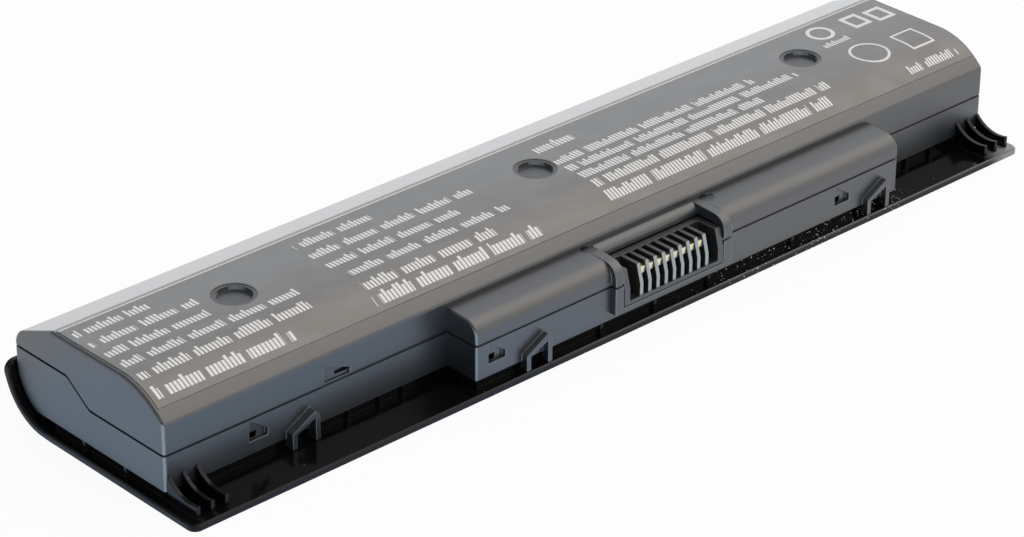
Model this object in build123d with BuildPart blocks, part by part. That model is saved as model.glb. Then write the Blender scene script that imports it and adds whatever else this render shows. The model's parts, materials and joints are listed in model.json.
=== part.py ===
from build123d import *
import os
from math import asin, cos, degrees, radians, sin, sqrt, tan

os.makedirs("parts", exist_ok=True)

# Laptop battery pack in millimetres. The origin is at the middle of the resting face, +X runs along the
# pack, the connector faces -Y and the labelled top looks up.

# Cells: two side by side, three along the length
cell_diameter = 18.0
cell_length = 65.0
cell_gap = 0.1
cell_seat_gap = 0.1
cap_radius = 2.8
cap_height = 0.8
row_count = 2
column_count = 3

# Case shell round the cells
case_wall = 1.1
front_room = 0.2
rear_room = 2.1
head_room = 0.3
end_room = 1.4
link_gap = 1.0
shoulder_radius = 15.0
shoulder_setback = 1.0
brow_radius = 1.2
rear_slope_angle = 22.3
slope_room = 0.13
ridge_radius = 1.0
rear_corner_radius = 3.0
end_edge_radius = 0.7

# Parting line between the halves, higher at the back, with a groove along it
front_parting = 10.05
back_parting = 14.2
jog_start = 20.0
jog_run = 6.0
jog_radius = 1.5
groove_width = 0.5
groove_depth = 0.4

# Outer cover: bottom plate with a front flange and a rear edge that curls up
cover_wall = 1.2
flange_depth = 9.2
end_lip = 1.5
back_gap = 0.4
curl_radius = 10.5
cover_corner_radius = 1.6
lip_corner_radius = 2.0
cover_edge_chamfer = 0.3
reveal = 1.8
plinth_inset = 0.6
plinth_wall = 1.2
tick_width = 0.8
end_tick_places = [10.9, 22.2, 33.4]
left_tick_setbacks = [39.4, 46.5, 51.8]
right_tick_setbacks = [21.0, 14.0]
boss_tick_offsets = [-16.8, -3.5, 10.3, 32.3]

# Stiffening fins at the flange's front corners
fin_count = 3
fin_pitch = 2.95
fin_thickness = 0.8
fin_end_inset = 0.4
fin_gap = 0.1
fin_run = 7.7
fin_back_height = 4.6
fin_front_height = 2.4
fin_dip = 0.25
fin_dip_place = 0.36

# Boss along the front that holds the connector and the circuit board, from beyond the first link plate
boss_overhang = 6.2
boss_length = 107.6
boss_depth = 7.5
boss_top = 14.5
boss_fall = 0.5
boss_edge_radius = 3.0
boss_end_radius = 0.5

# Connector and the step of the boss around it
connector_place = 46.9
contact_count = 8
contact_pitch = 2.06
slot_width = 1.2
guide_slot_width = 2.4
frame_width = 1.4
connector_fit = 0.15
surround_step = 1.2
surround_margin = 2.2
surround_foot = 4.3
connector_foot = 5.3
connector_top = 12.2
connector_setback = 2.0
recess_radius = 1.8
slot_floor_wall = 0.8
slot_back_wall = 1.4
rib_knee = 8.55
rib_lean = 1.0
contact_width = 1.06
contact_leaf = 0.4
contact_inset = 0.15
contact_root = 0.5
contact_rise = 2.8
contact_drop = 0.9
contact_nose = 1.3
contact_hook = 1.1
tail_overhang = 0.6
tail_fit = 0.05

# A-shaped hooks and wedge pockets on the front walls
hook_width = 6.0
hook_low_height = 3.2
hook_peak_height = 5.9
hook_wall = 0.95
hook_foot_gap = 0.1
hook_root = 0.4
side_hook_setback = 25.6
side_hook_depth = 1.8
left_hook_setback = 10.7
right_hook_setback = 9.4
boss_hook_depth = 1.4
pocket_setback = 7.8
pocket_width = 3.9
pocket_foot = 5.4
pocket_high_side = 3.9
pocket_low_side = 1.3
pocket_depth = 0.8
pocket_pad_margin = 0.7
pocket_pad_gap = 0.1
pocket_hole = 2.0
pocket_hole_height = 1.1

# Wells, snap window and ejector marks of the upper half
well_count = 3
well_pitch = 69.9
well_shift = -0.4
well_radius = 3.3
well_depth = 0.9
well_floor = 0.8
window_setback = 34.1
window_width = 5.6
window_high_side = 3.2
window_low_side = 1.3
window_depth = 0.7
window_slot_width = 2.8
window_slot_height = 0.7
mark_offsets = [-14.1, 15.8]
mark_radius = 1.5
mark_depth = 0.2
mark_setback = 0.9

# Label film and the bond under it
label_wall = 0.09
label_bond = 0.03
label_front_margin = 2.1
label_back_margin = 0.8
label_end_margin = 0.9
label_hole_radius = 3.8

# Nickel plates and straps, circuit board and what it carries
nickel = 0.2
plate_reach = 4.0
strap_width = 3.0
strap_setback = 2.0
strap_board_margin = 0.5
strap_tab_height = 3.0
board_wall = 0.8
board_drop = 2.0
board_end_gap = 0.3
paper_wall = 0.2
paper_rise = 6.0
chip_size = (9.8, 4.4, 1.1)
mosfet_size = (5.0, 4.0, 1.6)
resistor_size = (6.4, 3.2, 0.6)
fuse_size = (4.0, 3.0, 1.0)
chip_setback = 17.1
board_part_gap = 1.8
component_z = 6.4
bead_radius = 0.8
bead_length = 3.6
bead_leg = 0.4
bead_setback = 25.1

# Places worked out from the sizes above
cell_radius = cell_diameter / 2
floor = cover_wall
cell_z = floor + cell_seat_gap + cell_radius
case_top = cell_z + cell_radius + head_room + case_wall
case_depth = 2 * case_wall + front_room + row_count * cell_diameter + (row_count - 1) * cell_gap + rear_room
case_length = 2 * (case_wall + end_room) + column_count * cell_length + (column_count - 1) * link_gap
column_pitch = cell_length + link_gap
column_places = [(column - (column_count - 1) / 2) * column_pitch for column in range(column_count)]
link_places = [place + column_pitch / 2 for place in column_places[:-1]]
cover_length = case_length + 2 * end_lip
cover_depth = flange_depth + case_depth + back_gap + cover_wall
cover_front = -cover_depth / 2
cover_back = cover_depth / 2
curl_y = cover_back - curl_radius
case_front = cover_front + flange_depth
case_back = case_front + case_depth
wall_foot = floor + reveal
row_front = case_front + case_wall + front_room + cell_radius
row_back = row_front + (row_count - 1) * (cell_diameter + cell_gap)
shoulder_y = row_front + shoulder_setback
brow_z = case_top - shoulder_radius + sqrt(shoulder_radius**2 - (shoulder_y - case_front) ** 2)
slope = radians(rear_slope_angle)
slope_reach = cell_radius + slope_room + case_wall
ridge_y = row_back + (slope_reach - (case_top - cell_z) * cos(slope)) / sin(slope)
foot_radius = case_back - curl_y
foot_angle = degrees(asin((curl_radius - wall_foot) / foot_radius))
boss_left = link_places[0] - boss_overhang
boss_right = boss_left + boss_length
boss_front = case_front - boss_depth
boss_root = case_front + case_wall / 2
surround_front = boss_front - surround_step
connector_x = boss_left + connector_place
comb_width = contact_count * contact_pitch + contact_pitch - slot_width
connector_width = comb_width + 2 * (guide_slot_width + frame_width)
connector_back = case_front - connector_setback
slot_floor = connector_foot + slot_floor_wall
slot_back = connector_back - slot_back_wall
guide_reach = (comb_width + guide_slot_width) / 2
surround_left = connector_x - connector_width / 2 - surround_margin
surround_length = connector_width + 2 * surround_margin
plinth_reach = plinth_inset + plinth_wall
side_hook_left = side_hook_setback - case_length / 2
boss_hook_lefts = [boss_left + left_hook_setback, boss_right - right_hook_setback]
well_y = (row_front + row_back) / 2
well_places = [well_shift + (index - (well_count - 1) / 2) * well_pitch for index in range(well_count)]
board_back = connector_back + board_wall
strap_front = case_front + strap_setback
cells_end = case_length / 2 - case_wall - end_room
beyond = cover_length


def case_outline(inset=0.0):
    """Section of the closed case across its length, drawn with Y to the right and Z up."""
    foot = (case_front, wall_foot)
    brow = (case_front, brow_z)
    shoulder = (shoulder_y, case_top)
    ridge = (ridge_y, case_top)
    rear_top = (case_back, case_top - (case_back - ridge_y) * tan(slope))
    rear_low = (case_back, curl_radius)
    with BuildSketch() as outline:
        with BuildLine():
            Line(foot, brow)
            CenterArc(
                (shoulder_y, case_top - shoulder_radius),
                shoulder_radius,
                90,
                degrees(asin((shoulder_y - case_front) / shoulder_radius)),
            )
            Polyline(shoulder, ridge, rear_top, rear_low)
            heel = CenterArc((curl_y, curl_radius), foot_radius, 0, -foot_angle)
            Line(heel @ 1, foot)
        make_face()
        fillet(outline.vertices().sort_by_distance(brow)[0], radius=brow_radius)
        fillet(outline.vertices().sort_by_distance(ridge)[0], radius=ridge_radius)
        fillet(outline.vertices().sort_by_distance(rear_top)[0], radius=rear_corner_radius)
        if inset:
            offset(amount=-inset, mode=Mode.REPLACE)
    return outline.sketch


def boss_outline(front, foot, back, inset=0.0):
    """Section of the boss, its top falling a little towards a rounded front edge."""
    top_front = (front + inset, boss_top - boss_fall - inset)
    with BuildSketch() as outline:
        with BuildLine():
            Polyline(
                (front + inset, foot),
                top_front,
                (back, boss_top - inset),
                (back, foot),
                close=True,
            )
        make_face()
        fillet(outline.vertices().sort_by_distance(top_front)[0], radius=boss_edge_radius - inset)
    return outline.sketch


def below_parting(drop=0.0):
    """Region under the parting line, which jogs up towards the back."""
    low = (case_front + jog_start, front_parting - drop)
    high = (case_front + jog_start + jog_run, back_parting - drop)
    with BuildSketch() as region:
        with BuildLine():
            Polyline(
                (-beyond, -beyond),
                (-beyond, front_parting - drop),
                low,
                high,
                (beyond, back_parting - drop),
                (beyond, -beyond),
                close=True,
            )
        make_face()
        fillet(region.vertices().sort_by_distance(low)[0], radius=jog_radius)
        fillet(region.vertices().sort_by_distance(high)[0], radius=jog_radius)
    return region.sketch


def footprint(inset):
    """Plan of the case walls from the front back to where the cover starts to curl."""
    half = case_length / 2
    with BuildSketch() as plan:
        with BuildLine():
            Polyline(
                (-half, curl_y),
                (-half, case_front),
                (boss_left, case_front),
                (boss_left, boss_front),
                (boss_right, boss_front),
                (boss_right, case_front),
                (half, case_front),
                (half, curl_y),
                close=True,
            )
        make_face()
        offset(amount=-inset, kind=Kind.INTERSECTION, mode=Mode.REPLACE)
    return plan.sketch


def wedge_outline(left, foot, width, high_side, low_side):
    """Face of a wedge recess, high at its left side and low at its right side."""
    with BuildSketch() as outline:
        with BuildLine():
            Polyline(
                (left, foot),
                (left, foot + high_side),
                (left + width, foot + low_side),
                (left + width, foot),
                close=True,
            )
        make_face()
    return outline.sketch


def hook_outline(left):
    """A-shaped hook seen from the front: a short leg, a rising roof and a tall leg, open below."""
    foot = floor + hook_foot_gap
    right = left + hook_width
    low = floor + hook_low_height
    peak = floor + hook_peak_height
    roof_start = low - hook_wall / 2
    roof_end = peak - hook_wall - hook_wall / 2
    with BuildSketch() as outline:
        with BuildLine():
            Polyline(
                (left, foot),
                (left, low),
                (right - hook_wall, peak),
                (right, peak - hook_wall),
                (right, foot),
                close=True,
            )
        make_face()
        with BuildLine():
            Polyline(
                (left + hook_wall, foot),
                (left + hook_wall, roof_start),
                (right - hook_wall, roof_end),
                (right - hook_wall, foot),
                close=True,
            )
        make_face(mode=Mode.SUBTRACT)
    return outline.sketch


# Outer form shared by both halves of the case
with BuildPart() as boss_form:
    with BuildSketch(Plane.YZ.offset(boss_left)):
        add(boss_outline(boss_front, wall_foot, boss_root))
    extrude(amount=boss_length)
    boss_ends = boss_form.faces().filter_by(Axis.X).edges()
    rounded_ends = boss_ends.filter_by(lambda e: e.center().Y < case_front and e.center().Z > wall_foot)
    fillet(rounded_ends, radius=boss_end_radius)

with BuildPart() as case_form:
    with BuildSketch(Plane.YZ):
        add(case_outline())
    extrude(amount=case_length / 2, both=True)
    case_ends = case_form.faces().filter_by(Axis.X).edges()
    fillet(case_ends.filter_by(lambda e: e.center().Z > wall_foot), radius=end_edge_radius)
    add(boss_form.part)
    with BuildSketch(Plane.YZ.offset(surround_left)):
        add(boss_outline(surround_front, surround_foot, boss_root))
    extrude(amount=surround_length)

# Hollow of the boss, which keeps a skirt round the top of the connector
with BuildPart() as boss_bay:
    with BuildSketch(Plane.YZ.offset(boss_left + case_wall)):
        add(boss_outline(boss_front, 0, row_front, case_wall))
    extrude(amount=boss_length - 2 * case_wall)
    skirt_wall = connector_fit + case_wall
    with BuildSketch(Plane.XY.offset(connector_top + connector_fit)):
        with Locations((connector_x, boss_front)):
            Rectangle(connector_width + 2 * skirt_wall, 2 * (connector_back + skirt_wall - boss_front))
    extrude(amount=boss_top, mode=Mode.SUBTRACT)

# Opening in the boss for the connector
with BuildPart() as connector_bay:
    bay_back = connector_back + connector_fit
    with BuildSketch(Plane.XY.offset(connector_foot - connector_fit)):
        with Locations((connector_x, cover_front)):
            Rectangle(connector_width + 2 * connector_fit, 2 * (bay_back - cover_front))
    extrude(amount=case_top)

# Groove that marks the parting line round the outside
with BuildPart() as parting_groove:
    with BuildSketch(Plane.YZ):
        add(below_parting())
        add(below_parting(groove_width), mode=Mode.SUBTRACT)
    extrude(amount=beyond, both=True)
    with BuildSketch(Plane.YZ):
        add(case_outline(groove_depth))
    extrude(amount=case_length / 2 - groove_depth, both=True, mode=Mode.SUBTRACT)
    with BuildSketch(Plane.YZ.offset(boss_left + groove_depth)):
        add(boss_outline(boss_front + groove_depth, 0, boss_root))
    extrude(amount=boss_length - 2 * groove_depth, mode=Mode.SUBTRACT)
    with BuildSketch(Plane.YZ.offset(surround_left + groove_depth)):
        add(boss_outline(surround_front + groove_depth, 0, boss_root))
    extrude(amount=surround_length - 2 * groove_depth, mode=Mode.SUBTRACT)

# Outer cover
with BuildPart() as outer_cover:
    with BuildSketch(Plane.YZ):
        with BuildLine():
            Line((cover_front, 0), (curl_y, 0))
            CenterArc((curl_y, curl_radius), curl_radius, -90, 90)
            Line((cover_back, curl_radius), (cover_back - cover_wall, curl_radius))
            CenterArc((curl_y, curl_radius), curl_radius - cover_wall, 0, -90)
            Polyline((curl_y, cover_wall), (cover_front, cover_wall), (cover_front, 0))
        make_face()
    extrude(amount=cover_length / 2, both=True)
    fillet(outer_cover.edges().filter_by(Axis.Z).group_by(Axis.Y)[0], radius=cover_corner_radius)
    fillet(outer_cover.edges().filter_by(Axis.Y).group_by(Axis.Z)[-1], radius=lip_corner_radius)
    plate_top = outer_cover.faces().filter_by(Axis.Z).filter_by_position(Axis.Z, floor / 2, 2 * floor)
    flange_edges = plate_top.edges().filter_by(lambda e: e.center().Y < curl_y - cover_edge_chamfer)
    chamfer(flange_edges, length=cover_edge_chamfer)
    # Plinth that carries the case walls, open behind
    with BuildSketch(Plane.XY.offset(floor)):
        add(footprint(plinth_inset))
        add(footprint(plinth_reach), mode=Mode.SUBTRACT)
        with Locations((0, curl_y)):
            Rectangle(case_length - 2 * plinth_reach, 2 * (curl_y - row_front), mode=Mode.SUBTRACT)
    extrude(amount=reveal)
    # Small ribs between the plinth and the flange, where the boss leaves the wall bare
    left_ticks = [setback - case_length / 2 for setback in left_tick_setbacks]
    right_ticks = [case_length / 2 - setback for setback in right_tick_setbacks]
    bare_left = boss_left - tick_width
    bare_right = boss_right + tick_width
    front_ticks = [x for x in left_ticks + right_ticks if x < bare_left or x > bare_right]
    with BuildSketch(Plane.XY.offset(floor)):
        end_tick_x = case_length / 2 - plinth_inset / 2
        for side in (-1, 1):
            with Locations(*[(side * end_tick_x, case_front + y) for y in end_tick_places]):
                Rectangle(plinth_inset, tick_width)
        with Locations(*[(x, case_front + plinth_inset / 2) for x in front_ticks]):
            Rectangle(tick_width, plinth_inset)
        with Locations(*[(connector_x + x, boss_front + plinth_inset / 2) for x in boss_tick_offsets]):
            Rectangle(tick_width, plinth_inset)
    extrude(amount=reveal)
    # Fins, each a thin plate with a hollow-curved top
    fin_back = case_front - fin_gap
    fin_front = case_front - fin_run
    fin_top = floor + fin_front_height
    fin_middle = (fin_back + (fin_front - fin_back) * fin_dip_place, fin_top + fin_dip)
    for side in (-1, 1):
        for index in range(fin_count):
            fin_x = side * (case_length / 2 - fin_end_inset - fin_thickness / 2 - index * fin_pitch)
            with BuildSketch(Plane.YZ.offset(fin_x)):
                with BuildLine():
                    Polyline(
                        (fin_back, floor + fin_back_height),
                        (fin_back, floor),
                        (fin_front, floor),
                        (fin_front, fin_top),
                    )
                    ThreePointArc((fin_front, fin_top), fin_middle, (fin_back, floor + fin_back_height))
                make_face()
            extrude(amount=fin_thickness / 2, both=True)
outer_cover.part.label = "outer_cover"
export_step(outer_cover.part, "parts/outer_cover.step")

# Lower half of the case: an open frame with the front of the boss
with BuildPart() as lower_case:
    add(case_form.part)
    with BuildSketch(Plane.YZ):
        add(below_parting())
    extrude(amount=beyond, both=True, mode=Mode.INTERSECT)
    with BuildSketch(Plane.XY):
        with Locations((0, (case_front + case_back) / 2)):
            Rectangle(case_length - 2 * case_wall, case_depth - 2 * case_wall)
    extrude(amount=case_top, mode=Mode.SUBTRACT)
    add(boss_bay.part, mode=Mode.SUBTRACT)
    add(parting_groove.part, mode=Mode.SUBTRACT)
    add(connector_bay.part, mode=Mode.SUBTRACT)
    with BuildSketch(Plane.XZ.offset(-case_front - hook_root)):
        add(hook_outline(side_hook_left))
    extrude(amount=side_hook_depth + hook_root)
    for hook_left in boss_hook_lefts:
        with BuildSketch(Plane.XZ.offset(-boss_front - hook_root)):
            add(hook_outline(hook_left))
        extrude(amount=boss_hook_depth + hook_root)
    # Wedge pockets, highest at the left, with a hole through the wall and a pad behind it
    pockets = [(side_hook_left, case_front)] + [(hook_left, boss_front) for hook_left in boss_hook_lefts]
    for hook_left, face in pockets:
        left = hook_left - pocket_setback
        pad_reach = case_wall + front_room - pocket_pad_gap
        with BuildSketch(Plane.XZ.offset(-face - pad_reach)):
            with Locations((left + pocket_width / 2, pocket_foot + pocket_high_side / 2)):
                Rectangle(pocket_width + 2 * pocket_pad_margin, pocket_high_side + 2 * pocket_pad_margin)
        extrude(amount=pad_reach - case_wall / 2)
        with BuildSketch(Plane.XZ.offset(-face)):
            add(wedge_outline(left, pocket_foot, pocket_width, pocket_high_side, pocket_low_side))
        extrude(amount=-pocket_depth, mode=Mode.SUBTRACT)
        with BuildSketch(Plane.XZ.offset(-face)):
            with Locations((left + pocket_hole / 2, pocket_foot + pocket_low_side / 2)):
                Rectangle(pocket_hole, pocket_hole_height)
        extrude(amount=-2 * pad_reach, mode=Mode.SUBTRACT)
lower_case.part.label = "lower_case"
export_step(lower_case.part, "parts/lower_case.step")

# Upper half of the case
with BuildPart() as upper_case:
    add(case_form.part)
    with BuildSketch(Plane.YZ):
        add(below_parting())
    extrude(amount=beyond, both=True, mode=Mode.SUBTRACT)
    with BuildSketch(Plane.YZ):
        add(case_outline(case_wall))
    extrude(amount=case_length / 2 - case_wall, both=True, mode=Mode.SUBTRACT)
    add(boss_bay.part, mode=Mode.SUBTRACT)
    add(connector_bay.part, mode=Mode.SUBTRACT)
    recess_edges = upper_case.edges().filter_by(Axis.X)
    recess_edges = recess_edges.filter_by_position(Axis.Y, bay_back - tail_fit, bay_back + tail_fit)
    fillet(recess_edges.sort_by(Axis.Z)[-1], radius=recess_radius)
    # Round wells over the valley between the two rows of cells
    with BuildSketch(Plane.XY.offset(case_top - well_depth - well_floor)):
        with Locations(*[(x, well_y) for x in well_places]):
            Circle(well_radius + well_floor)
    extrude(amount=well_depth + well_floor - case_wall / 2)
    with BuildSketch(Plane.XY.offset(case_top - well_depth)):
        with Locations(*[(x, well_y) for x in well_places]):
            Circle(well_radius)
    extrude(amount=case_top, mode=Mode.SUBTRACT)
    # Snap window in the lower edge and ejector marks on top of the boss
    window_left = window_setback - case_length / 2
    with BuildSketch(Plane.XZ.offset(-case_front)):
        add(wedge_outline(window_left, front_parting, window_width, window_high_side, window_low_side))
    extrude(amount=-window_depth, mode=Mode.SUBTRACT)
    with BuildSketch(Plane.XZ.offset(-case_front)):
        slot_middle = window_left + window_width - window_slot_width / 2
        with Locations((slot_middle, front_parting + window_low_side - window_slot_height / 2)):
            Rectangle(window_slot_width, window_slot_height)
    extrude(amount=-2 * case_wall, mode=Mode.SUBTRACT)
    with BuildSketch(Plane.XY.offset(boss_top - mark_depth)):
        with Locations(*[(connector_x + x, case_front - mark_setback) for x in mark_offsets]):
            Circle(mark_radius)
    extrude(amount=2 * mark_depth, mode=Mode.SUBTRACT)
upper_case.part.label = "upper_case"
export_step(upper_case.part, "parts/upper_case.step")

# Label film on the shoulder and the flat top, cut out round the wells
with BuildPart() as label_film:
    with BuildSketch(Plane.YZ):
        add(case_outline(-label_bond - label_wall))
        add(case_outline(-label_bond), mode=Mode.SUBTRACT)
        label_front = case_front + label_front_margin
        label_back = ridge_y - label_back_margin
        with Locations(((label_front + label_back) / 2, case_top)):
            Rectangle(label_back - label_front, case_top, mode=Mode.INTERSECT)
    extrude(amount=case_length / 2 - label_end_margin, both=True)
    with BuildSketch(Plane.XY.offset(case_top)):
        with Locations(*[(x, well_y) for x in well_places]):
            Circle(label_hole_radius)
    extrude(amount=2 * (label_bond + label_wall), mode=Mode.SUBTRACT)
label_film.part.label = "label_film"
export_step(label_film.part, "parts/label_film.step")

# Connector: a comb of ribs between two wide guide slots
first_slot = connector_x - (contact_count - 1) / 2 * contact_pitch
slot_places = [first_slot + index * contact_pitch for index in range(contact_count)]
with BuildPart() as connector_housing:
    with BuildSketch(Plane.YZ.offset(connector_x)):
        with BuildLine():
            Polyline(
                (connector_back, connector_foot),
                (surround_front, connector_foot),
                (surround_front, rib_knee),
                (surround_front + rib_lean, connector_top),
                (connector_back, connector_top),
                close=True,
            )
        make_face()
    extrude(amount=connector_width / 2, both=True)
    with BuildSketch(Plane.XY.offset(slot_floor)):
        with Locations(*[(x, cover_front) for x in slot_places]):
            Rectangle(slot_width, 2 * (slot_back - cover_front))
        with Locations((connector_x - guide_reach, cover_front), (connector_x + guide_reach, cover_front)):
            Rectangle(guide_slot_width, 2 * (slot_back - cover_front))
    extrude(amount=connector_top, mode=Mode.SUBTRACT)
    # Passages for the contacts' tails through the back
    with BuildSketch(Plane.XY.offset(slot_floor)):
        with Locations(*[(x, connector_back) for x in slot_places]):
            Rectangle(contact_width + 2 * tail_fit, 2 * (connector_back - cover_front))
    extrude(amount=contact_leaf + tail_fit, mode=Mode.SUBTRACT)
connector_housing.part.label = "connector_housing"
export_step(connector_housing.part, "parts/connector_housing.step")

# Contacts: a bent leaf in each narrow slot, its tail through the board
tip_z = connector_top - contact_drop
rib_rise = (tip_z - rib_knee) / (connector_top - rib_knee)
nose_y = surround_front + rib_lean * rib_rise + contact_inset
arm_y = slot_back - contact_root - contact_leaf
bend_z = slot_floor + contact_rise
for index, place in enumerate(slot_places):
    with BuildPart() as contact:
        with BuildSketch(Plane.YZ.offset(place)):
            with BuildLine():
                Polyline(
                    (board_back + tail_overhang, slot_floor),
                    (arm_y, slot_floor),
                    (arm_y, bend_z),
                    (nose_y, tip_z - contact_nose),
                    (nose_y, tip_z),
                    (nose_y + contact_hook, tip_z),
                    (nose_y + contact_hook, tip_z - contact_leaf),
                    (nose_y + contact_leaf, tip_z - contact_leaf),
                    (nose_y + contact_leaf, tip_z - contact_nose + contact_leaf),
                    (arm_y + contact_leaf, bend_z + contact_leaf),
                    (arm_y + contact_leaf, slot_floor + contact_leaf),
                    (board_back + tail_overhang, slot_floor + contact_leaf),
                    close=True,
                )
            make_face()
        extrude(amount=contact_width / 2, both=True)
    contact.part.label = f"contact_{index + 1}"
    export_step(contact.part, f"parts/contact_{index + 1}.step")

# Cells, all with the positive cap towards +X
row_places = [row_front + row * (cell_diameter + cell_gap) for row in range(row_count)]
for index, (cell_x, cell_y) in enumerate((x, y) for x in column_places for y in row_places):
    start = cell_x - cell_length / 2
    end = cell_x + cell_length / 2
    with BuildPart() as cell:
        with BuildSketch(Plane((0, cell_y, cell_z), x_dir=(1, 0, 0), z_dir=(0, -1, 0))):
            with BuildLine():
                Polyline(
                    (start, 0),
                    (start, cell_radius),
                    (end - cap_height, cell_radius),
                    (end - cap_height, cap_radius),
                    (end, cap_radius),
                    (end, 0),
                    close=True,
                )
            make_face()
        revolve(axis=Axis((0, cell_y, cell_z), (1, 0, 0)))
    cell.part.label = f"cell_{index + 1}"
    export_step(cell.part, f"parts/cell_{index + 1}.step")


def plate_outline():
    """Nickel plate over a pair of cell ends, with a leg at the front that reaches the floor."""
    with BuildSketch() as outline:
        with BuildLine():
            Polyline(
                (strap_front, floor),
                (strap_front + strap_width, floor),
                (strap_front + strap_width, cell_z - plate_reach),
                (row_back + plate_reach, cell_z - plate_reach),
                (row_back + plate_reach, cell_z + plate_reach),
                (strap_front, cell_z + plate_reach),
                close=True,
            )
        make_face()
    return outline.sketch


# End plates
for name, side in (("end_plate_negative", -1), ("end_plate_positive", 1)):
    with BuildPart() as end_plate:
        with BuildSketch(Plane.YZ.offset(side * cells_end)):
            add(plate_outline())
        extrude(amount=side * nickel)
    end_plate.part.label = name
    export_step(end_plate.part, f"parts/{name}.step")

# Link plates: one sheet on each side of the gap between two pairs, folded over at the top
for index, place in enumerate(link_places):
    with BuildPart() as link_plate:
        with BuildSketch(Plane.YZ.offset(place - link_gap / 2)):
            add(plate_outline())
        extrude(amount=nickel)
        with BuildSketch(Plane.YZ.offset(place + link_gap / 2)):
            add(plate_outline())
        extrude(amount=-nickel)
        with BuildSketch(Plane.XY.offset(cell_z + plate_reach)):
            with Locations((place, (strap_front + row_back + plate_reach) / 2)):
                Rectangle(link_gap, row_back + plate_reach - strap_front)
        extrude(amount=-nickel)
    link_plate.part.label = f"link_plate_{index + 1}"
    export_step(link_plate.part, f"parts/link_plate_{index + 1}.step")

# Tap straps from the link plates' legs to the board, turned up against its back
for index, place in enumerate(link_places):
    turn = place - link_gap / 2 + strap_width / 2
    with BuildPart() as tap_strap:
        with BuildSketch(Plane.XY.offset(floor)):
            with Locations((turn, (board_back + strap_front) / 2)):
                Rectangle(strap_width, strap_front - board_back)
        extrude(amount=nickel)
        with BuildSketch(Plane.XZ.offset(-board_back)):
            with Locations((turn, floor + strap_tab_height / 2)):
                Rectangle(strap_width, strap_tab_height)
        extrude(amount=-nickel)
    tap_strap.part.label = f"tap_strap_{index + 1}"
    export_step(tap_strap.part, f"parts/tap_strap_{index + 1}.step")

# End straps, which lie on the cover in front of the cells and turn in to the board
negative_turn = boss_left + plinth_reach + strap_board_margin + strap_width / 2
positive_turn = boss_right - plinth_reach - strap_board_margin - strap_width / 2
for name, side, turn in (("negative_strap", -1, negative_turn), ("positive_strap", 1, positive_turn)):
    inner_edge = turn - side * strap_width / 2
    with BuildPart() as end_strap:
        with BuildSketch(Plane.XY.offset(floor)):
            with Locations(((inner_edge + side * cells_end) / 2, strap_front + strap_width / 2)):
                Rectangle(abs(side * cells_end - inner_edge), strap_width)
            with Locations((turn, (board_back + strap_front) / 2)):
                Rectangle(strap_width, strap_front - board_back)
        extrude(amount=nickel)
        with BuildSketch(Plane.XZ.offset(-board_back)):
            with Locations((turn, floor + strap_tab_height / 2)):
                Rectangle(strap_width, strap_tab_height)
        extrude(amount=-nickel)
    end_strap.part.label = name
    export_step(end_strap.part, f"parts/{name}.step")

# Paper sheets between the end plates and the end walls
for name, side in (("end_insulator_left", -1), ("end_insulator_right", 1)):
    with BuildPart() as end_insulator:
        with BuildSketch(Plane.YZ.offset(side * (cells_end + nickel))):
            with Locations(((row_front + row_back) / 2, cell_z)):
                Rectangle(row_back - row_front + 2 * paper_rise, 2 * paper_rise)
        extrude(amount=side * paper_wall)
    end_insulator.part.label = name
    export_step(end_insulator.part, f"parts/{name}.step")

# Circuit board, standing behind the connector on the cover
board_left = boss_left + plinth_reach + board_end_gap
board_right = boss_right - plinth_reach - board_end_gap
board_top = connector_top - board_drop
with BuildPart() as circuit_board:
    with BuildSketch(Plane.XZ.offset(-board_back)):
        with Locations(((board_left + board_right) / 2, (floor + board_top) / 2)):
            Rectangle(board_right - board_left, board_top - floor)
        with Locations(*[(x, slot_floor + contact_leaf / 2) for x in slot_places]):
            Rectangle(contact_width + 2 * tail_fit, contact_leaf + 2 * tail_fit, mode=Mode.SUBTRACT)
    extrude(amount=board_wall)
circuit_board.part.label = "circuit_board"
export_step(circuit_board.part, "parts/circuit_board.step")

# Parts soldered on the front of the board, side by side from its right end, and the chip near its left end
resistor_place = board_right - board_part_gap - resistor_size[0] / 2
fuse_place = resistor_place - resistor_size[0] / 2 - board_part_gap - fuse_size[0] / 2
discharge_mosfet_place = fuse_place - fuse_size[0] / 2 - board_part_gap - mosfet_size[0] / 2
charge_mosfet_place = discharge_mosfet_place - mosfet_size[0] - board_part_gap
board_parts = [
    ("gauge_chip", board_left + chip_setback, chip_size),
    ("charge_mosfet", charge_mosfet_place, mosfet_size),
    ("discharge_mosfet", discharge_mosfet_place, mosfet_size),
    ("protection_fuse", fuse_place, fuse_size),
    ("sense_resistor", resistor_place, resistor_size),
]
for name, place, (width, height, depth) in board_parts:
    with BuildPart() as board_part:
        with BuildSketch(Plane.XZ.offset(-connector_back)):
            with Locations((place, component_z)):
                Rectangle(width, height)
        extrude(amount=depth)
    board_part.part.label = name
    export_step(board_part.part, f"parts/{name}.step")

# Thermistor bead against a front cell, on two short legs from the board
bead_x = board_left + bead_setback
bead_y = row_front - cell_radius - bead_radius
with BuildPart() as thermistor:
    with BuildSketch(Plane.YZ.offset(bead_x)):
        with Locations((bead_y, cell_z)):
            Circle(bead_radius)
    extrude(amount=bead_length / 2, both=True)
    with BuildSketch(Plane.XZ.offset(-board_back)):
        with Locations((bead_x - bead_length / 4, cell_z), (bead_x + bead_length / 4, cell_z)):
            Rectangle(bead_leg, bead_leg)
    extrude(amount=board_back - bead_y)
thermistor.part.label = "thermistor"
export_step(thermistor.part, "parts/thermistor.step")
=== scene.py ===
"""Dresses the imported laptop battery: moulded shells, printed film, comb connector and the parts inside."""

import json
import logging
import math
from dataclasses import dataclass
from enum import Enum
from typing import Any

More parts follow.
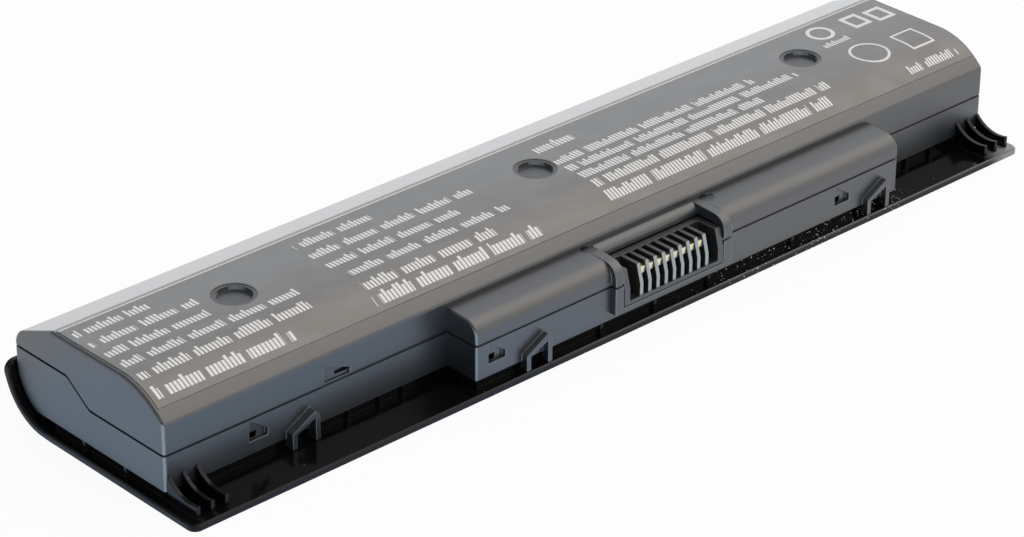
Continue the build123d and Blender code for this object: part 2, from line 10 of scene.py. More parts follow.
import bmesh
import bpy
from mathutils import Matrix, Vector


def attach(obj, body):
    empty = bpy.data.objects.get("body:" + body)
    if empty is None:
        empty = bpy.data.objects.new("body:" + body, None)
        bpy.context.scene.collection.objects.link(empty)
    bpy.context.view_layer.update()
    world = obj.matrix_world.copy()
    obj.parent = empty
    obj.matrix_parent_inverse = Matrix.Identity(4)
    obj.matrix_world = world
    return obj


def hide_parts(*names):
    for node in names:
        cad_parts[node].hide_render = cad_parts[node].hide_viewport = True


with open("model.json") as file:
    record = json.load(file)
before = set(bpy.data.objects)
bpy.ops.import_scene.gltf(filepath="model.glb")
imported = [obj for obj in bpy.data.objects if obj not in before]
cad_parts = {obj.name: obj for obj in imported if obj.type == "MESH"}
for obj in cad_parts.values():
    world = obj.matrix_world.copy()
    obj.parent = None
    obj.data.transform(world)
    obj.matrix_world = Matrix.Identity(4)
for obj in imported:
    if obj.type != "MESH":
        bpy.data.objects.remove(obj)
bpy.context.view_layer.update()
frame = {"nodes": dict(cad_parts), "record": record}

MM = 0.001
BODY = "root"
# Name of the face attribute that holds each face's share of painted highlight.
PAINTED_HIGHLIGHT = "painted_highlight"
NOISE_MIDDLE = 0.5
log = logging.getLogger("battery")

Colour = tuple[float, float, float]
Point = tuple[float, float, float]
Reach = tuple[float, float]
WHITE: Colour = (1.0, 1.0, 1.0)


def opaque(colour: Colour) -> tuple[float, float, float, float]:
    """Returns a colour with full alpha, as colour sockets take it."""
    return (*colour, 1.0)


def millimetres(*lengths: float) -> tuple[float, ...]:
    """Returns lengths that are given in millimetres in metres."""
    return tuple(length * MM for length in lengths)


class Maths(Enum):
    """The Math node operations that the finishes use."""

    ADD = "ADD"
    SUBTRACT = "SUBTRACT"
    MULTIPLY = "MULTIPLY"
    DIVIDE = "DIVIDE"
    ABOVE = "GREATER_THAN"
    BELOW = "LESS_THAN"
    MOST = "MAXIMUM"
    FLOOR = "FLOOR"
    FRACTION = "FRACT"
    SIZE = "ABSOLUTE"
    ROOT = "SQRT"


class Socket:
    """An output of a shader graph on which Python operators add Math nodes."""

    def __init__(self, graph: "Graph", link: bpy.types.NodeSocket) -> None:
        """Wraps one output.

        Args:
            graph: The graph that holds the output's node.
            link: The output itself.
        """
        self.graph = graph
        self.link = link

    def maths(self, operation: Maths, *operands: Any) -> "Socket":
        """Adds one Math node.

        Args:
            operation: What the node works out.
            operands: Its inputs, as sockets or numbers.

        Returns:
            The node's result.
        """
        node = self.graph.node("ShaderNodeMath", {"operation": operation.value}, dict(enumerate(operands)))
        return Socket(self.graph, node.outputs[0])

    def __add__(self, other: Any) -> "Socket":
        """Returns self + other."""
        return self.maths(Maths.ADD, self, other)

    __radd__ = __add__

    def __sub__(self, other: Any) -> "Socket":
        """Returns self - other."""
        return self.maths(Maths.SUBTRACT, self, other)

    def __rsub__(self, other: Any) -> "Socket":
        """Returns other - self."""
        return self.maths(Maths.SUBTRACT, other, self)

    def __mul__(self, other: Any) -> "Socket":
        """Returns self * other."""
        return self.maths(Maths.MULTIPLY, self, other)

    __rmul__ = __mul__

    def __truediv__(self, other: Any) -> "Socket":
        """Returns self / other."""
        return self.maths(Maths.DIVIDE, self, other)

    def __rtruediv__(self, other: Any) -> "Socket":
        """Returns other / self."""
        return self.maths(Maths.DIVIDE, other, self)

    def __gt__(self, other: Any) -> "Socket":
        """Returns 1 where self is above other, and 0 elsewhere."""
        return self.maths(Maths.ABOVE, self, other)

    def __lt__(self, other: Any) -> "Socket":
        """Returns 1 where self is below other, and 0 elsewhere."""
        return self.maths(Maths.BELOW, self, other)

    def most(self, other: Any) -> "Socket":
        """Returns the larger of self and other."""
        return self.maths(Maths.MOST, self, other)

    def floor(self) -> "Socket":
        """Returns the whole number at or below self."""
        return self.maths(Maths.FLOOR, self)

    def fraction(self) -> "Socket":
        """Returns what is left of self above its whole number."""
        return self.maths(Maths.FRACTION, self)

    def size(self) -> "Socket":
        """Returns self without its sign."""
        return self.maths(Maths.SIZE, self)

    def root(self) -> "Socket":
        """Returns the square root of self."""
        return self.maths(Maths.ROOT, self)

    def between(self, low: Any, high: Any) -> "Socket":
        """Returns 1 where self lies from low to high, and 0 elsewhere."""
        return (self > low) * (self < high)

    def ease(self, low: float, high: float) -> "Socket":
        """Rises smoothly from 0 at low to 1 at high.

        Args:
            low: Where the rise starts.
            high: Where it ends.

        Returns:
            The eased value.
        """
        settings = {"interpolation_type": "SMOOTHSTEP"}
        inputs = {"Value": self, "From Min": low, "From Max": high}
        node = self.graph.node("ShaderNodeMapRange", settings, inputs)
        return Socket(self.graph, node.outputs[0])


class Graph:
    """A node tree that is filled node by node."""

    def __init__(self, tree: bpy.types.NodeTree) -> None:
        """Empties a tree and takes it over.

        Args:
            tree: The tree of a material or of the world.
        """
        self.tree = tree
        self.tree.nodes.clear()

    def node(self, kind: str, settings: dict[str, Any], inputs: dict[Any, Any]) -> bpy.types.Node:
        """Adds one node of any kind.

        Args:
            kind: The node's type.
            settings: Its own settings, set first; "stops" are a ramp's places and grey levels, and
                "stepped" gives the ramp steps.
            inputs: The values or links of its sockets, by name or number.

        Returns:
            The new node.
        """
        node = self.tree.nodes.new(kind)
        for name, value in settings.items():
            if name == "stops":
                self.set_stops(node.color_ramp.elements, value)
            elif name == "stepped":
                node.color_ramp.interpolation = "CONSTANT"
            else:
                setattr(node, name, value)
        for name, value in inputs.items():
            if isinstance(value, Socket):
                self.tree.links.new(value.link, node.inputs[name])
            else:
                node.inputs[name].default_value = value
        return node

    @staticmethod
    def set_stops(elements: bpy.types.bpy_prop_collection, stops: list[tuple[float, float]]) -> None:
        """Gives a ramp its stops.

        Args:
            elements: The ramp's elements.
            stops: Each stop's place and grey level, in order.
        """
        while len(elements) < len(stops):
            elements.new(1.0)
        for element, (place, level) in zip(elements, stops):
            element.position = place
            element.color = opaque((level, level, level))

    def coordinates(self) -> Socket:
        """Returns the Object coordinates."""
        return Socket(self, self.node("ShaderNodeTexCoord", {}, {}).outputs["Object"])

    def directions(self) -> Socket:
        """Returns the direction looked in, in the world's graph."""
        return Socket(self, self.node("ShaderNodeTexCoord", {}, {}).outputs["Generated"])

    def nearness(self, vector: Socket, direction: Point) -> Socket:
        """Returns the cosine of the angle between a unit vector and a fixed direction."""
        settings = {"operation": "DOT_PRODUCT"}
        node = self.node("ShaderNodeVectorMath", settings, {0: vector, 1: Vector(direction).normalized()})
        return Socket(self, node.outputs["Value"])

    def attribute(self, name: str) -> Socket:
        """Returns a value that the piece's own faces carry."""
        return Socket(self, self.node("ShaderNodeAttribute", {"attribute_name": name}, {}).outputs["Fac"])

    def axes(self, vector: Socket) -> tuple[Socket, Socket, Socket]:
        """Returns a vector's three parts."""
        node = self.node("ShaderNodeSeparateXYZ", {}, {0: vector})
        return Socket(self, node.outputs[0]), Socket(self, node.outputs[1]), Socket(self, node.outputs[2])

    def vector(self, x: Any, y: Any, z: Any) -> Socket:
        """Returns a vector made of three values."""
        return Socket(self, self.node("ShaderNodeCombineXYZ", {}, {0: x, 1: y, 2: z}).outputs[0])

    def noise(self, vector: Socket, scale: float, detail: float = 2.0) -> Socket:
        """Returns soft noise from 0 to 1, at so many features a metre."""
        inputs = {"Vector": vector, "Scale": scale, "Detail": detail}
        return Socket(self, self.node("ShaderNodeTexNoise", {}, inputs).outputs[0])

    def chance(self, vector: Socket) -> Socket:
        """Returns an even random value from 0 to 1 for each whole vector."""
        return Socket(self, self.node("ShaderNodeTexWhiteNoise", {}, {"Vector": vector}).outputs[0])

    def specks(self, vector: Socket, scale: float) -> tuple[Socket, Socket]:
        """Scatters points.

        Args:
            vector: The coordinates.
            scale: How many points there are to a metre.

        Returns:
            The distance to the nearest point in units of the spacing, and that point's random value.
        """
        node = self.node("ShaderNodeTexVoronoi", {}, {"Vector": vector, "Scale": scale})
        draw = self.node("ShaderNodeSeparateColor", {}, {0: Socket(self, node.outputs["Color"])})
        return Socket(self, node.outputs["Distance"]), Socket(self, draw.outputs[0])

    def blend(self, factor: Socket, first: Any, second: Any) -> Socket:
        """Mixes two colours.

        Args:
            factor: 0 for the first colour and 1 for the second.
            first: A colour or a socket.
            second: A colour or a socket.

        Returns:
            The mixed colour.
        """
        colours = [value if isinstance(value, Socket) else opaque(value) for value in (first, second)]
        inputs = {0: factor, 6: colours[0], 7: colours[1]}
        return Socket(self, self.node("ShaderNodeMix", {"data_type": "RGBA"}, inputs).outputs[2])

    def bump(self, height: Socket, strength: float, depth: float) -> Socket:
        """Returns a normal that follows a height of so many metres."""
        inputs = {"Height": height, "Strength": strength, "Distance": depth}
        return Socket(self, self.node("ShaderNodeBump", {}, inputs).outputs[0])

    def surface(self, inputs: dict[str, Any]) -> None:
        """Ends a material in one Principled shader with these inputs."""
        shader = self.node("ShaderNodeBsdfPrincipled", {}, inputs)
        self.node("ShaderNodeOutputMaterial", {}, {"Surface": Socket(self, shader.outputs[0])})


class Finish:
    """A surface that can be made into a material."""

    def paint(self, graph: Graph) -> None:
        """Fills the material's graph; each finish has its own way."""
        raise NotImplementedError

    def material(self, name: str) -> bpy.types.Material:
        """Makes the material.

        Args:
            name: The material's name.

        Returns:
            The material.
        """
        material = bpy.data.materials.new(name)
        material.use_nodes = True
        self.paint(Graph(material.node_tree))
        return material


@dataclass(frozen=True)
class Dust:
    """Pale specks of lint that lie thicker in some places than in others."""

    spacing: float = 0.6 * MM
    radius: float = 0.12
    spread: float = 0.4
    share: float = 0.5
    colour: Colour = (0.5, 0.51, 0.53)

    def mask(self, graph: Graph, vector: Socket, density: Any) -> Socket:
        """Scatters the specks.

        Args:
            graph: The material's graph.
            vector: The coordinates.
            density: How many of the places hold a speck, against the usual share.

        Returns:
            1 on a speck and 0 elsewhere.
        """
        distance, draw = graph.specks(vector, 1.0 / self.spacing)
        limit = density * self.share
        return (distance < draw * self.spread + self.radius) * (draw < limit)


@dataclass(frozen=True)
class SatinPlastic(Finish):
    """Black moulded plastic with a fine even texture, painted highlights on its edges and along its ridge,
    and smooth on its back.
    """

    colour: Colour = (0.014, 0.019, 0.025)
    highlight_paint: Colour = (0.26, 0.32, 0.35)
    painted_ridge_highlight: Colour = (0.3, 0.31, 0.32)
    roughness: float = 0.36
    uneven_roughness: float = 0.06
    speck_roughness: float = 0.4
    gloss_index: float = 2.05
    ridge_start: float = 12.8 * MM
    back_start: float = 13.3 * MM
    back_end: float = 13.7 * MM
    back_half: float = 100.4 * MM
    back_foot: float = 15.4 * MM
    back_roughness: float = 0.14
    coat_index: float = 1.5
    coat_roughness: float = 0.08
    drift_scale: float = 90.0
    drift_share: float = 0.16
    grain: float = 0.18 * MM
    grain_detail: float = 3.0
    grain_strength: float = 0.5
    grain_depth: float = 0.006 * MM
    hook_along: Reach = (20.0 * MM, 50.0 * MM)
    hook_across: Reach = (-22.5 * MM, -23.5 * MM)
    hook_height: Reach = (8.0 * MM, 3.5 * MM)
    stray: float = 0.02
    dust: Dust = Dust(spacing=1.0 * MM, radius=0.06, spread=0.5, share=0.16)

    def paint(self, graph: Graph) -> None:
        """Lays fine grain, slow unevenness, painted edge highlights, a painted highlight along the ridge and
        a little dust over the colour.
        """
        place = graph.coordinates()
        along, across, height = graph.axes(place)
        grain = graph.noise(place, 1.0 / self.grain, self.grain_detail)
        drift = graph.noise(place, self.drift_scale)
        on_top = (along.size() < self.back_half) * (height > self.back_foot)
        by_hook = along.ease(*self.hook_along) * across.ease(*self.hook_across)
        speck = self.dust.mask(graph, place, by_hook * height.ease(*self.hook_height) + self.stray)
        dark = tuple((1.0 - self.drift_share) * part for part in self.colour)
        light = tuple((1.0 + self.drift_share) * part for part in self.colour)
        shade = graph.blend(drift, dark, light)
        # Painted highlight: pale colour on upright corners and narrow edge strips.
        painted_highlit = graph.blend(graph.attribute(PAINTED_HIGHLIGHT), shade, self.highlight_paint)
        # Painted highlight: a pale strip along the ridge of the top.
        painted_highlit = graph.blend(across.between(self.ridge_start, self.back_end) * on_top, painted_highlit, self.painted_ridge_highlight)
        slope = across.ease(self.back_start, self.back_end) * on_top
        polish = slope * (self.back_roughness - self.roughness)
        uneven = (drift - NOISE_MIDDLE) * self.uneven_roughness
        graph.surface(
            {
                "Base Color": graph.blend(speck, painted_highlit, self.dust.colour),
                "Roughness": self.roughness + polish + uneven + speck * self.speck_roughness,
                "IOR": self.gloss_index,
                "Coat Weight": slope,
                "Coat IOR": self.coat_index,
                "Coat Roughness": self.coat_roughness,
                "Normal": graph.bump(grain, self.grain_strength, self.grain_depth),
            }
        )


@dataclass(frozen=True)
class CombPlastic(Finish):
    """Dark brown-black plastic with a painted highlight on the fronts of its ribs and a dimmer painted sheen
    on the front of its frame.
    """

    colour: Colour = (0.026, 0.024, 0.023)
    highlight_paint: Colour = (0.34, 0.4, 0.44)
    frame_painted_sheen: Colour = (0.05, 0.058, 0.066)
    roughness: float = 0.3
    uneven_roughness: float = 0.1
    gloss_index: float = 1.7
    middle: float = 7.7 * MM
    ribs_half: float = 9.4 * MM
    ribs_foot: float = 6.2 * MM
    fade: float = 0.3 * MM
    grain: float = 0.2 * MM
    grain_detail: float = 3.0
    grain_strength: float = 0.5
    grain_depth: float = 0.006 * MM

    def paint(self, graph: Graph) -> None:
        """Lays grain over the colour, a painted highlight on the ribs' fronts and a dimmer painted sheen on
        the frame's front.
        """
        place = graph.coordinates()
        along, _, height = graph.axes(place)
        grain = graph.noise(place, 1.0 / self.grain, self.grain_detail)
        aside = (along - self.middle).size()
        ribs = height.ease(self.ribs_foot, self.ribs_foot + self.fade) * (aside < self.ribs_half)
        # Painted highlight on the ribs' fronts and painted sheen on the frame's front.
        edge = graph.blend(ribs, self.frame_painted_sheen, self.highlight_paint)
        graph.surface(
            {
                "Base Color": graph.blend(graph.attribute(PAINTED_HIGHLIGHT), self.colour, edge),
                "Roughness": self.roughness + (grain - NOISE_MIDDLE) * self.uneven_roughness,
                "IOR": self.gloss_index,
                "Normal": graph.bump(grain, self.grain_strength, self.grain_depth),
            }
        )


@dataclass(frozen=True)
class CoverPlastic(Finish):
    """Smooth black plastic with smudges, lint along the flange, a painted reflection on its right corner and
    a painted highlight along its front edge.
    """

    colour: Colour = (0.0035, 0.0035, 0.004)
    painted_corner_reflection: Colour = (0.28, 0.3, 0.3)
    painted_highlit: Colour = (0.13, 0.133, 0.136)
    plate_top: float = 1.3 * MM
    roughness: float = 0.1
    speck_roughness: float = 0.5
    gloss_index: float = 1.32
    smudge_scale: float = 220.0
    smudge_detail: float = 4.0
    smudge_roughness: float = 0.08
    smudge_strength: float = 0.2
    smudge_depth: float = 0.02 * MM
    drift_scale: float = 60.0
    boss_left: Reach = (5.0 * MM, 30.0 * MM)
    boss_right: Reach = (78.0 * MM, 68.0 * MM)
    boss_foot: Reach = (-19.0 * MM, -22.0 * MM)
    boss_share: float = 0.3
    right_half: Reach = (-60.0 * MM, 20.0 * MM)
    right_share: float = 0.12
    stray: float = 0.02
    corner_along: Reach = (93.0 * MM, 99.0 * MM)
    corner_across: Reach = (-15.5 * MM, -18.0 * MM)
    edge_highlight_along: Reach = (-50.0 * MM, 30.0 * MM)
    edge_highlight_height: Reach = (0.8 * MM, 1.2 * MM)
    dust: Dust = Dust()
    lint: Dust = Dust(spacing=2.2 * MM, radius=0.04, spread=0.1, share=0.25)

    def paint(self, graph: Graph) -> None:
        """Lays smudges, a painted corner reflection, a painted edge highlight and lint over the colour."""
        place = graph.coordinates()
        smudge = graph.noise(place, self.smudge_scale, self.smudge_detail)
        along, across, height = graph.axes(place)
        drift = graph.noise(place, self.drift_scale)
        boss_reach = along.ease(*self.boss_left) * along.ease(*self.boss_right)
        before_boss = boss_reach * across.ease(*self.boss_foot)
        on_right = along.ease(*self.right_half) * drift * self.right_share
        density = before_boss * (self.boss_share + drift) + on_right + self.stray
        speck = self.dust.mask(graph, place, density).most(self.lint.mask(graph, place, before_boss * drift))
        corner = along.ease(*self.corner_along) * across.ease(*self.corner_across) * (height < self.plate_top)
        # Painted reflection: a pale patch on the flange's right corner.
        painted_light_tone = graph.blend(corner, self.colour, self.painted_corner_reflection)
        # Painted highlight along the flange's front edge.
        highlight_paint = graph.attribute(PAINTED_HIGHLIGHT) * along.ease(*self.edge_highlight_along) * height.ease(*self.edge_highlight_height)
        painted_light_tone = graph.blend(highlight_paint, painted_light_tone, self.painted_highlit)
        graph.surface(
            {
                "Base Color": graph.blend(speck, painted_light_tone, self.dust.colour),
                "Roughness": self.roughness + smudge * self.smudge_roughness + speck * self.speck_roughness,
                "IOR": self.gloss_index,
                "Normal": graph.bump(smudge, self.smudge_strength, self.smudge_depth),
            }
        )


@dataclass(frozen=True)
class PrintBlock:
    """A field of short pale bars in rows."""

    left: float
    first: float
    lengths: tuple[float, ...]
    pitch: float
    height: float
    letter: float
    low_share: float = 0.72
    low_drop: float = 0.28
    fill: float = 0.64
    word: float = 8.6 * MM
    word_gap: float = 0.14

    def mask(self, graph: Graph, x: Socket, y: Socket) -> Socket:
        """Draws the bars.

        Args:
            graph: The material's graph.
            x: Along the rows.
            y: Across the rows.

        Returns:
            1 on a bar and 0 elsewhere.
        """
        count = len(self.lengths)
        longest = max(self.lengths)
        drop = (self.first + self.height / 2 - y) / self.pitch
        row = drop.floor()
        stops = [(index / count, length / longest) for index, length in enumerate(self.lengths)]
        settings = {"stops": stops, "stepped": True}
        ramp = graph.node("ShaderNodeValToRGB", settings, {0: (row + 0.5) / count})
        reach = Socket(graph, ramp.outputs[0]) * longest + self.left
        step = (x - self.left) / self.letter
        tall = graph.chance(graph.vector(step.floor(), row, self.first / MM))
        shift = graph.chance(graph.vector(row, self.left / MM, 1.0))
        down = drop.fraction() * self.pitch
        lift = (tall < self.low_share) * (self.low_drop * self.height)
        inside = x.between(self.left, reach) * drop.between(0.0, float(count))
        words = ((x - self.left) / self.word + shift).fraction() > self.word_gap
        return inside * words * (step.fraction() < self.fill) * down.between(lift, self.height)


@dataclass(frozen=True)
class RingSign:
    """A plain printed ring."""

    centre: tuple[float, float]
    radius: float
    line: float

    def mask(self, graph: Graph, x: Socket, y: Socket) -> Socket:
        """Returns 1 on the ring and 0 elsewhere."""
        aside = x - self.centre[0]
        above = y - self.centre[1]
        distance = (aside * aside + above * above).root()
        return distance.between(self.radius - self.line, self.radius)


@dataclass(frozen=True)
class BoxSign:
    """A plain printed square outline."""

    centre: tuple[float, float]
    half: tuple[float, float]
    line: float

    def mask(self, graph: Graph, x: Socket, y: Socket) -> Socket:
        """Returns 1 on the outline and 0 elsewhere."""
        aside = (x - self.centre[0]).size()
        above = (y - self.centre[1]).size()
        outer = (aside < self.half[0]) * (above < self.half[1])
        inner = (aside < self.half[0] - self.line) * (above < self.half[1] - self.line)
        return outer - inner


@dataclass(frozen=True)
class PrintedFilm(Finish):
    """Dark satin film with rows of pale bars and plain signs at its right end."""

    # Painted light: the film is warmer and darker at the front and cooler and lighter at the back.
    front_painted_tone: Colour = (0.135, 0.125, 0.116)
    back_painted_tone: Colour = (0.18, 0.189, 0.197)
    painted_tone_across: Reach = (-12.0 * MM, 10.0 * MM)
    cloud: Colour = (0.26, 0.27, 0.28)
    cloud_share: float = 0.22
    cloud_edge: Reach = (0.35, 0.7)
    streak_scale: float = 240.0
    streak_first: Reach = (0.3, 1.0)
    streak_second: Reach = (-0.4, 0.35)
    ink: Colour = (0.78, 0.78, 0.78)
    ink_roughness: float = 0.15
    roughness: float = 0.34
    uneven_roughness: float = 0.06
    gloss_index: float = 1.8
    drift_scale: float = 70.0
    grain_scale: float = 5200.0
    grain_strength: float = 0.4
    grain_depth: float = 0.006 * MM
    # Painted shade: dark rings at the edges of the film's holes over the wells.
    painted_hole_shade: Colour = (0.035, 0.033, 0.031)
    painted_hole_rings: tuple[RingSign, ...] = tuple(
        RingSign((place * MM, 2.85 * MM), 4.1 * MM, 0.3 * MM) for place in (-70.3, -0.4, 69.5)
    )
    prints: tuple[Any, ...] = (
        PrintBlock(
            left=-99.0 * MM,
            first=9.7 * MM,
            lengths=millimetres(15.4, 22.4, 22.5, 37.3, 36.3),
            pitch=4.38 * MM,
            height=2.4 * MM,
            letter=0.78 * MM,
        ),
        PrintBlock(
            left=-99.0 * MM,
            first=-12.0 * MM,
            lengths=millimetres(29.4),
            pitch=4.0 * MM,
            height=2.5 * MM,
            letter=0.84 * MM,
            fill=0.72,
        ),
        PrintBlock(
            left=-52.2 * MM,
            first=9.0 * MM,
            lengths=millimetres(18.2, 37.3, 30.4, 38.2, 30.7),
            pitch=4.5 * MM,
            height=2.4 * MM,
            letter=0.78 * MM,
        ),
        PrintBlock(
            left=-52.2 * MM,
            first=-12.2 * MM,
            lengths=millimetres(38.7),
            pitch=4.0 * MM,
            height=2.5 * MM,
            letter=0.84 * MM,
            fill=0.72,
        ),
        PrintBlock(
            left=4.2 * MM,
            first=8.2 * MM,
            lengths=millimetres(9.4),
            pitch=4.0 * MM,
            height=2.8 * MM,
            letter=0.84 * MM,
            fill=0.66,
            word_gap=0.05,
        ),
        PrintBlock(
            left=3.8 * MM,
            first=2.2 * MM,
            lengths=millimetres(51.5, 60.0, 47.0, 61.5, 58.5),
            pitch=3.45 * MM,
            height=2.3 * MM,
            letter=0.76 * MM,
            low_share=0.35,
            word=14.0 * MM,
            word_gap=0.08,
        ),
        PrintBlock(
            left=76.6 * MM,
            first=3.3 * MM,
            lengths=millimetres(7.2),
            pitch=3.0 * MM,
            height=1.8 * MM,
            letter=0.7 * MM,
        ),
        PrintBlock(
            left=83.7 * MM,
            first=-12.4 * MM,
            lengths=millimetres(13.8),
            pitch=3.0 * MM,
            height=1.8 * MM,
            letter=0.7 * MM,
        ),
        RingSign((81.3 * MM, -4.3 * MM), 4.1 * MM, 0.55 * MM),
        RingSign((80.6 * MM, 8.0 * MM), 2.9 * MM, 0.8 * MM),
        BoxSign((92.4 * MM, -5.4 * MM), (3.1 * MM, 3.3 * MM), 0.5 * MM),
        BoxSign((90.0 * MM, 7.4 * MM), (2.3 * MM, 2.6 * MM), 0.9 * MM),
        BoxSign((96.0 * MM, 6.6 * MM), (2.3 * MM, 2.6 * MM), 0.9 * MM),
        # Painted highlight: a pale line along the film's back edge, drawn as print.
        BoxSign((0.0, 12.45 * MM), (100.0 * MM, 0.14 * MM), 0.14 * MM),
    )

    def shade(self, graph: Graph, x: Socket, y: Socket) -> Socket:
        """Shades the bare film with painted light from front to back, clouds and painted shade around its
        holes.

        Args:
            graph: The material's graph.
            x: Along the film.
            y: Across the film.

        Returns:
            The film's colour with its clouds and with painted shade in rings at the edges of its holes.
        """
        # Painted light across the film, from front to back.
        film = graph.blend(y.ease(*self.painted_tone_across), self.front_painted_tone, self.back_painted_tone)
        first = x * self.streak_first[0] + y * self.streak_first[1]
        second = x * self.streak_second[0] + y * self.streak_second[1]
        streak = graph.noise(graph.vector(first, second, 0.0), self.streak_scale)
        film = graph.blend(streak.ease(*self.cloud_edge) * self.cloud_share, film, self.cloud)
        for ring in self.painted_hole_rings:
            film = graph.blend(ring.mask(graph, x, y), film, self.painted_hole_shade)
        return film

    def paint(self, graph: Graph) -> None:
        """Lays print and a slow unevenness over the film."""
        place = graph.coordinates()
        x, y, _ = graph.axes(place)
        drift = graph.noise(place, self.drift_scale)
        grain = graph.noise(place, self.grain_scale)
        printed = self.prints[0].mask(graph, x, y)
        for sign in self.prints[1:]:
            printed = printed.most(sign.mask(graph, x, y))
        uneven = (drift - NOISE_MIDDLE) * self.uneven_roughness
        graph.surface(
            {
                "Base Color": graph.blend(printed, self.shade(graph, x, y), self.ink),
                "Roughness": self.roughness + uneven + printed * self.ink_roughness,
                "IOR": self.gloss_index,
                "Normal": graph.bump(grain, self.grain_strength, self.grain_depth),
            }
        )


@dataclass(frozen=True)
class PlainFinish(Finish):
    """A surface of one colour with slow mottling and fine grain."""

    colour: Colour
    roughness: float
    metallic: float = 0.0
    mottle: float = 0.2
    mottle_scale: float = 400.0
    mottle_detail: float = 4.0
    uneven_roughness: float = 0.2
    grain_scale: float = 6000.0
    grain_strength: float = 0.4
    grain_depth: float = 0.01 * MM

    def paint(self, graph: Graph) -> None:
        """Lays mottling and grain over the colour."""
        place = graph.coordinates()
        mottle = graph.noise(place, self.mottle_scale, self.mottle_detail)
        grain = graph.noise(place, self.grain_scale)
        dark = tuple((1.0 - self.mottle) * part for part in self.colour)
        graph.surface(
            {
                "Base Color": graph.blend(mottle, dark, self.colour),
                "Roughness": self.roughness + (mottle - NOISE_MIDDLE) * self.uneven_roughness,
                "Metallic": self.metallic,
                "Normal": graph.bump(grain, self.grain_strength, self.grain_depth),
            }
        )


@dataclass
class Moulding:
    """A copy of a CAD node whose hard edges are rounded a little."""

    node: str
    name: str
    slot: str
    edge_round: float = 0.12 * MM
    room: float = 2.6
    hard_angle: float = math.radians(28.0)
    flat_angle: float = math.radians(0.6)
    merge: float = 0.002 * MM
    segments: int = 2
    strip_share: float = 1.2

    def has_room(self, edge: bmesh.types.BMEdge) -> bool:
        """Tells whether an edge can be rounded.

        Args:
            edge: An edge of the merged copy.

        Returns:
            True where the edge is hard and its faces are wide enough for the round.
        """
        if len(edge.link_faces) != 2 or edge.calc_face_angle(0.0) < self.hard_angle:
            return False
        start, end = (vertex.co for vertex in edge.verts)
        along = (end - start).normalized()
        need = self.room * self.edge_round
        for face in edge.link_faces:
            if max((vertex.co - start).cross(along).length for vertex in face.verts) < need:
                return False
        neighbours = {other for vertex in edge.verts for other in vertex.link_edges} - {edge}
        hard = [other for other in neighbours if other.calc_face_angle(0.0) > self.hard_angle]
        return all(other.calc_length() >= need for other in hard)

    def is_strip(self, face: bmesh.types.BMFace) -> bool:
        """Tells whether a face is one of the narrow strips of a rounded edge."""
        longest = max(edge.calc_length() for edge in face.edges)
        return face.calc_area() < self.strip_share * self.edge_round * longest

    def painted_highlight(self, face: bmesh.types.BMFace) -> float:
        """Returns the share of painted highlight a face gets, from 0 to 1; a plain moulding gets none."""
        return 0.0

    def build(self, material: bpy.types.Material) -> bpy.types.Object:
        """Copies, merges, rounds and dresses the node.

        Args:
            material: The finish it gets.

        Returns:
            The piece, riding on the body and standing for the node.
        """
        shape = bmesh.new()
        shape.from_mesh(frame["nodes"][self.node].data)
        bmesh.ops.remove_doubles(shape, verts=shape.verts, dist=self.merge)
        bmesh.ops.dissolve_limit(
            shape, angle_limit=self.flat_angle, verts=shape.verts, edges=shape.edges, delimit=set()
        )
        bmesh.ops.bevel(
            shape,
            geom=[edge for edge in shape.edges if self.has_room(edge)],
            offset=self.edge_round,
            affect="EDGES",
            segments=self.segments,
            profile=0.5,
            material=-1,
            clamp_overlap=False,
        )
        # Each face's share of painted highlight goes into a face attribute.
        layer = shape.faces.layers.float.new(PAINTED_HIGHLIGHT)
        shape.normal_update()
        for face in shape.faces:
            face.smooth = True
            face[layer] = self.painted_highlight(face)
        for edge in shape.edges:
            edge.smooth = edge.calc_face_angle(0.0) < self.hard_angle
        mesh = bpy.data.meshes.new(self.name)
        shape.to_mesh(mesh)
        shape.free()
        piece = bpy.data.objects.new(self.name, mesh)
        bpy.context.scene.collection.objects.link(piece)
        weighting = piece.modifiers.new("weighting", "WEIGHTED_NORMAL")
        weighting.keep_sharp = True
        piece.data.materials.append(material)
        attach(piece, BODY)
        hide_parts(self.node)
        return piece


@dataclass
class CaseHalf(Moulding):
    """One half of the case, with a painted highlight on its upright corners."""

    upright: float = 0.35
    corner: float = 0.3
    corner_middle: float = math.sqrt(0.5)
    strip_painted_highlight: float = 0.35
    hook_top: float = 9.4 * MM

    def painted_highlight(self, face: bmesh.types.BMFace) -> float:
        """Returns the share of painted highlight a face gets, most on the middle of an upright corner."""
        x, y, z = (abs(part) for part in face.normal)
        # Painted highlight on the upright corners, strongest at their middle.
        if z < self.upright and min(x, y) > self.corner:
            return min(x, y) / self.corner_middle
        # A weaker painted highlight on narrow low strips that face up and forward.
        up_front = face.normal.z > self.upright and face.normal.y < -self.corner
        low = face.calc_center_median().z < self.hook_top
        return self.strip_painted_highlight * float(up_front and low and self.is_strip(face))


@dataclass
class CoverPlate(Moulding):
    """The outer cover, with a painted highlight along the front edge of its flange."""

    front: float = -25.3 * MM
    facing: float = 0.5

    def painted_highlight(self, face: bmesh.types.BMFace) -> float:
        """Returns 1 on the flange's front edge, which gets the painted highlight, and 0 elsewhere."""
        on_front = max(vertex.co.y for vertex in face.verts) < self.front
        return float(on_front and face.normal.y < -self.facing)


@dataclass
class LabelSheet(Moulding):
    """The printed film, whose thin edges take only a very small round."""

    edge_round: float = 0.03 * MM


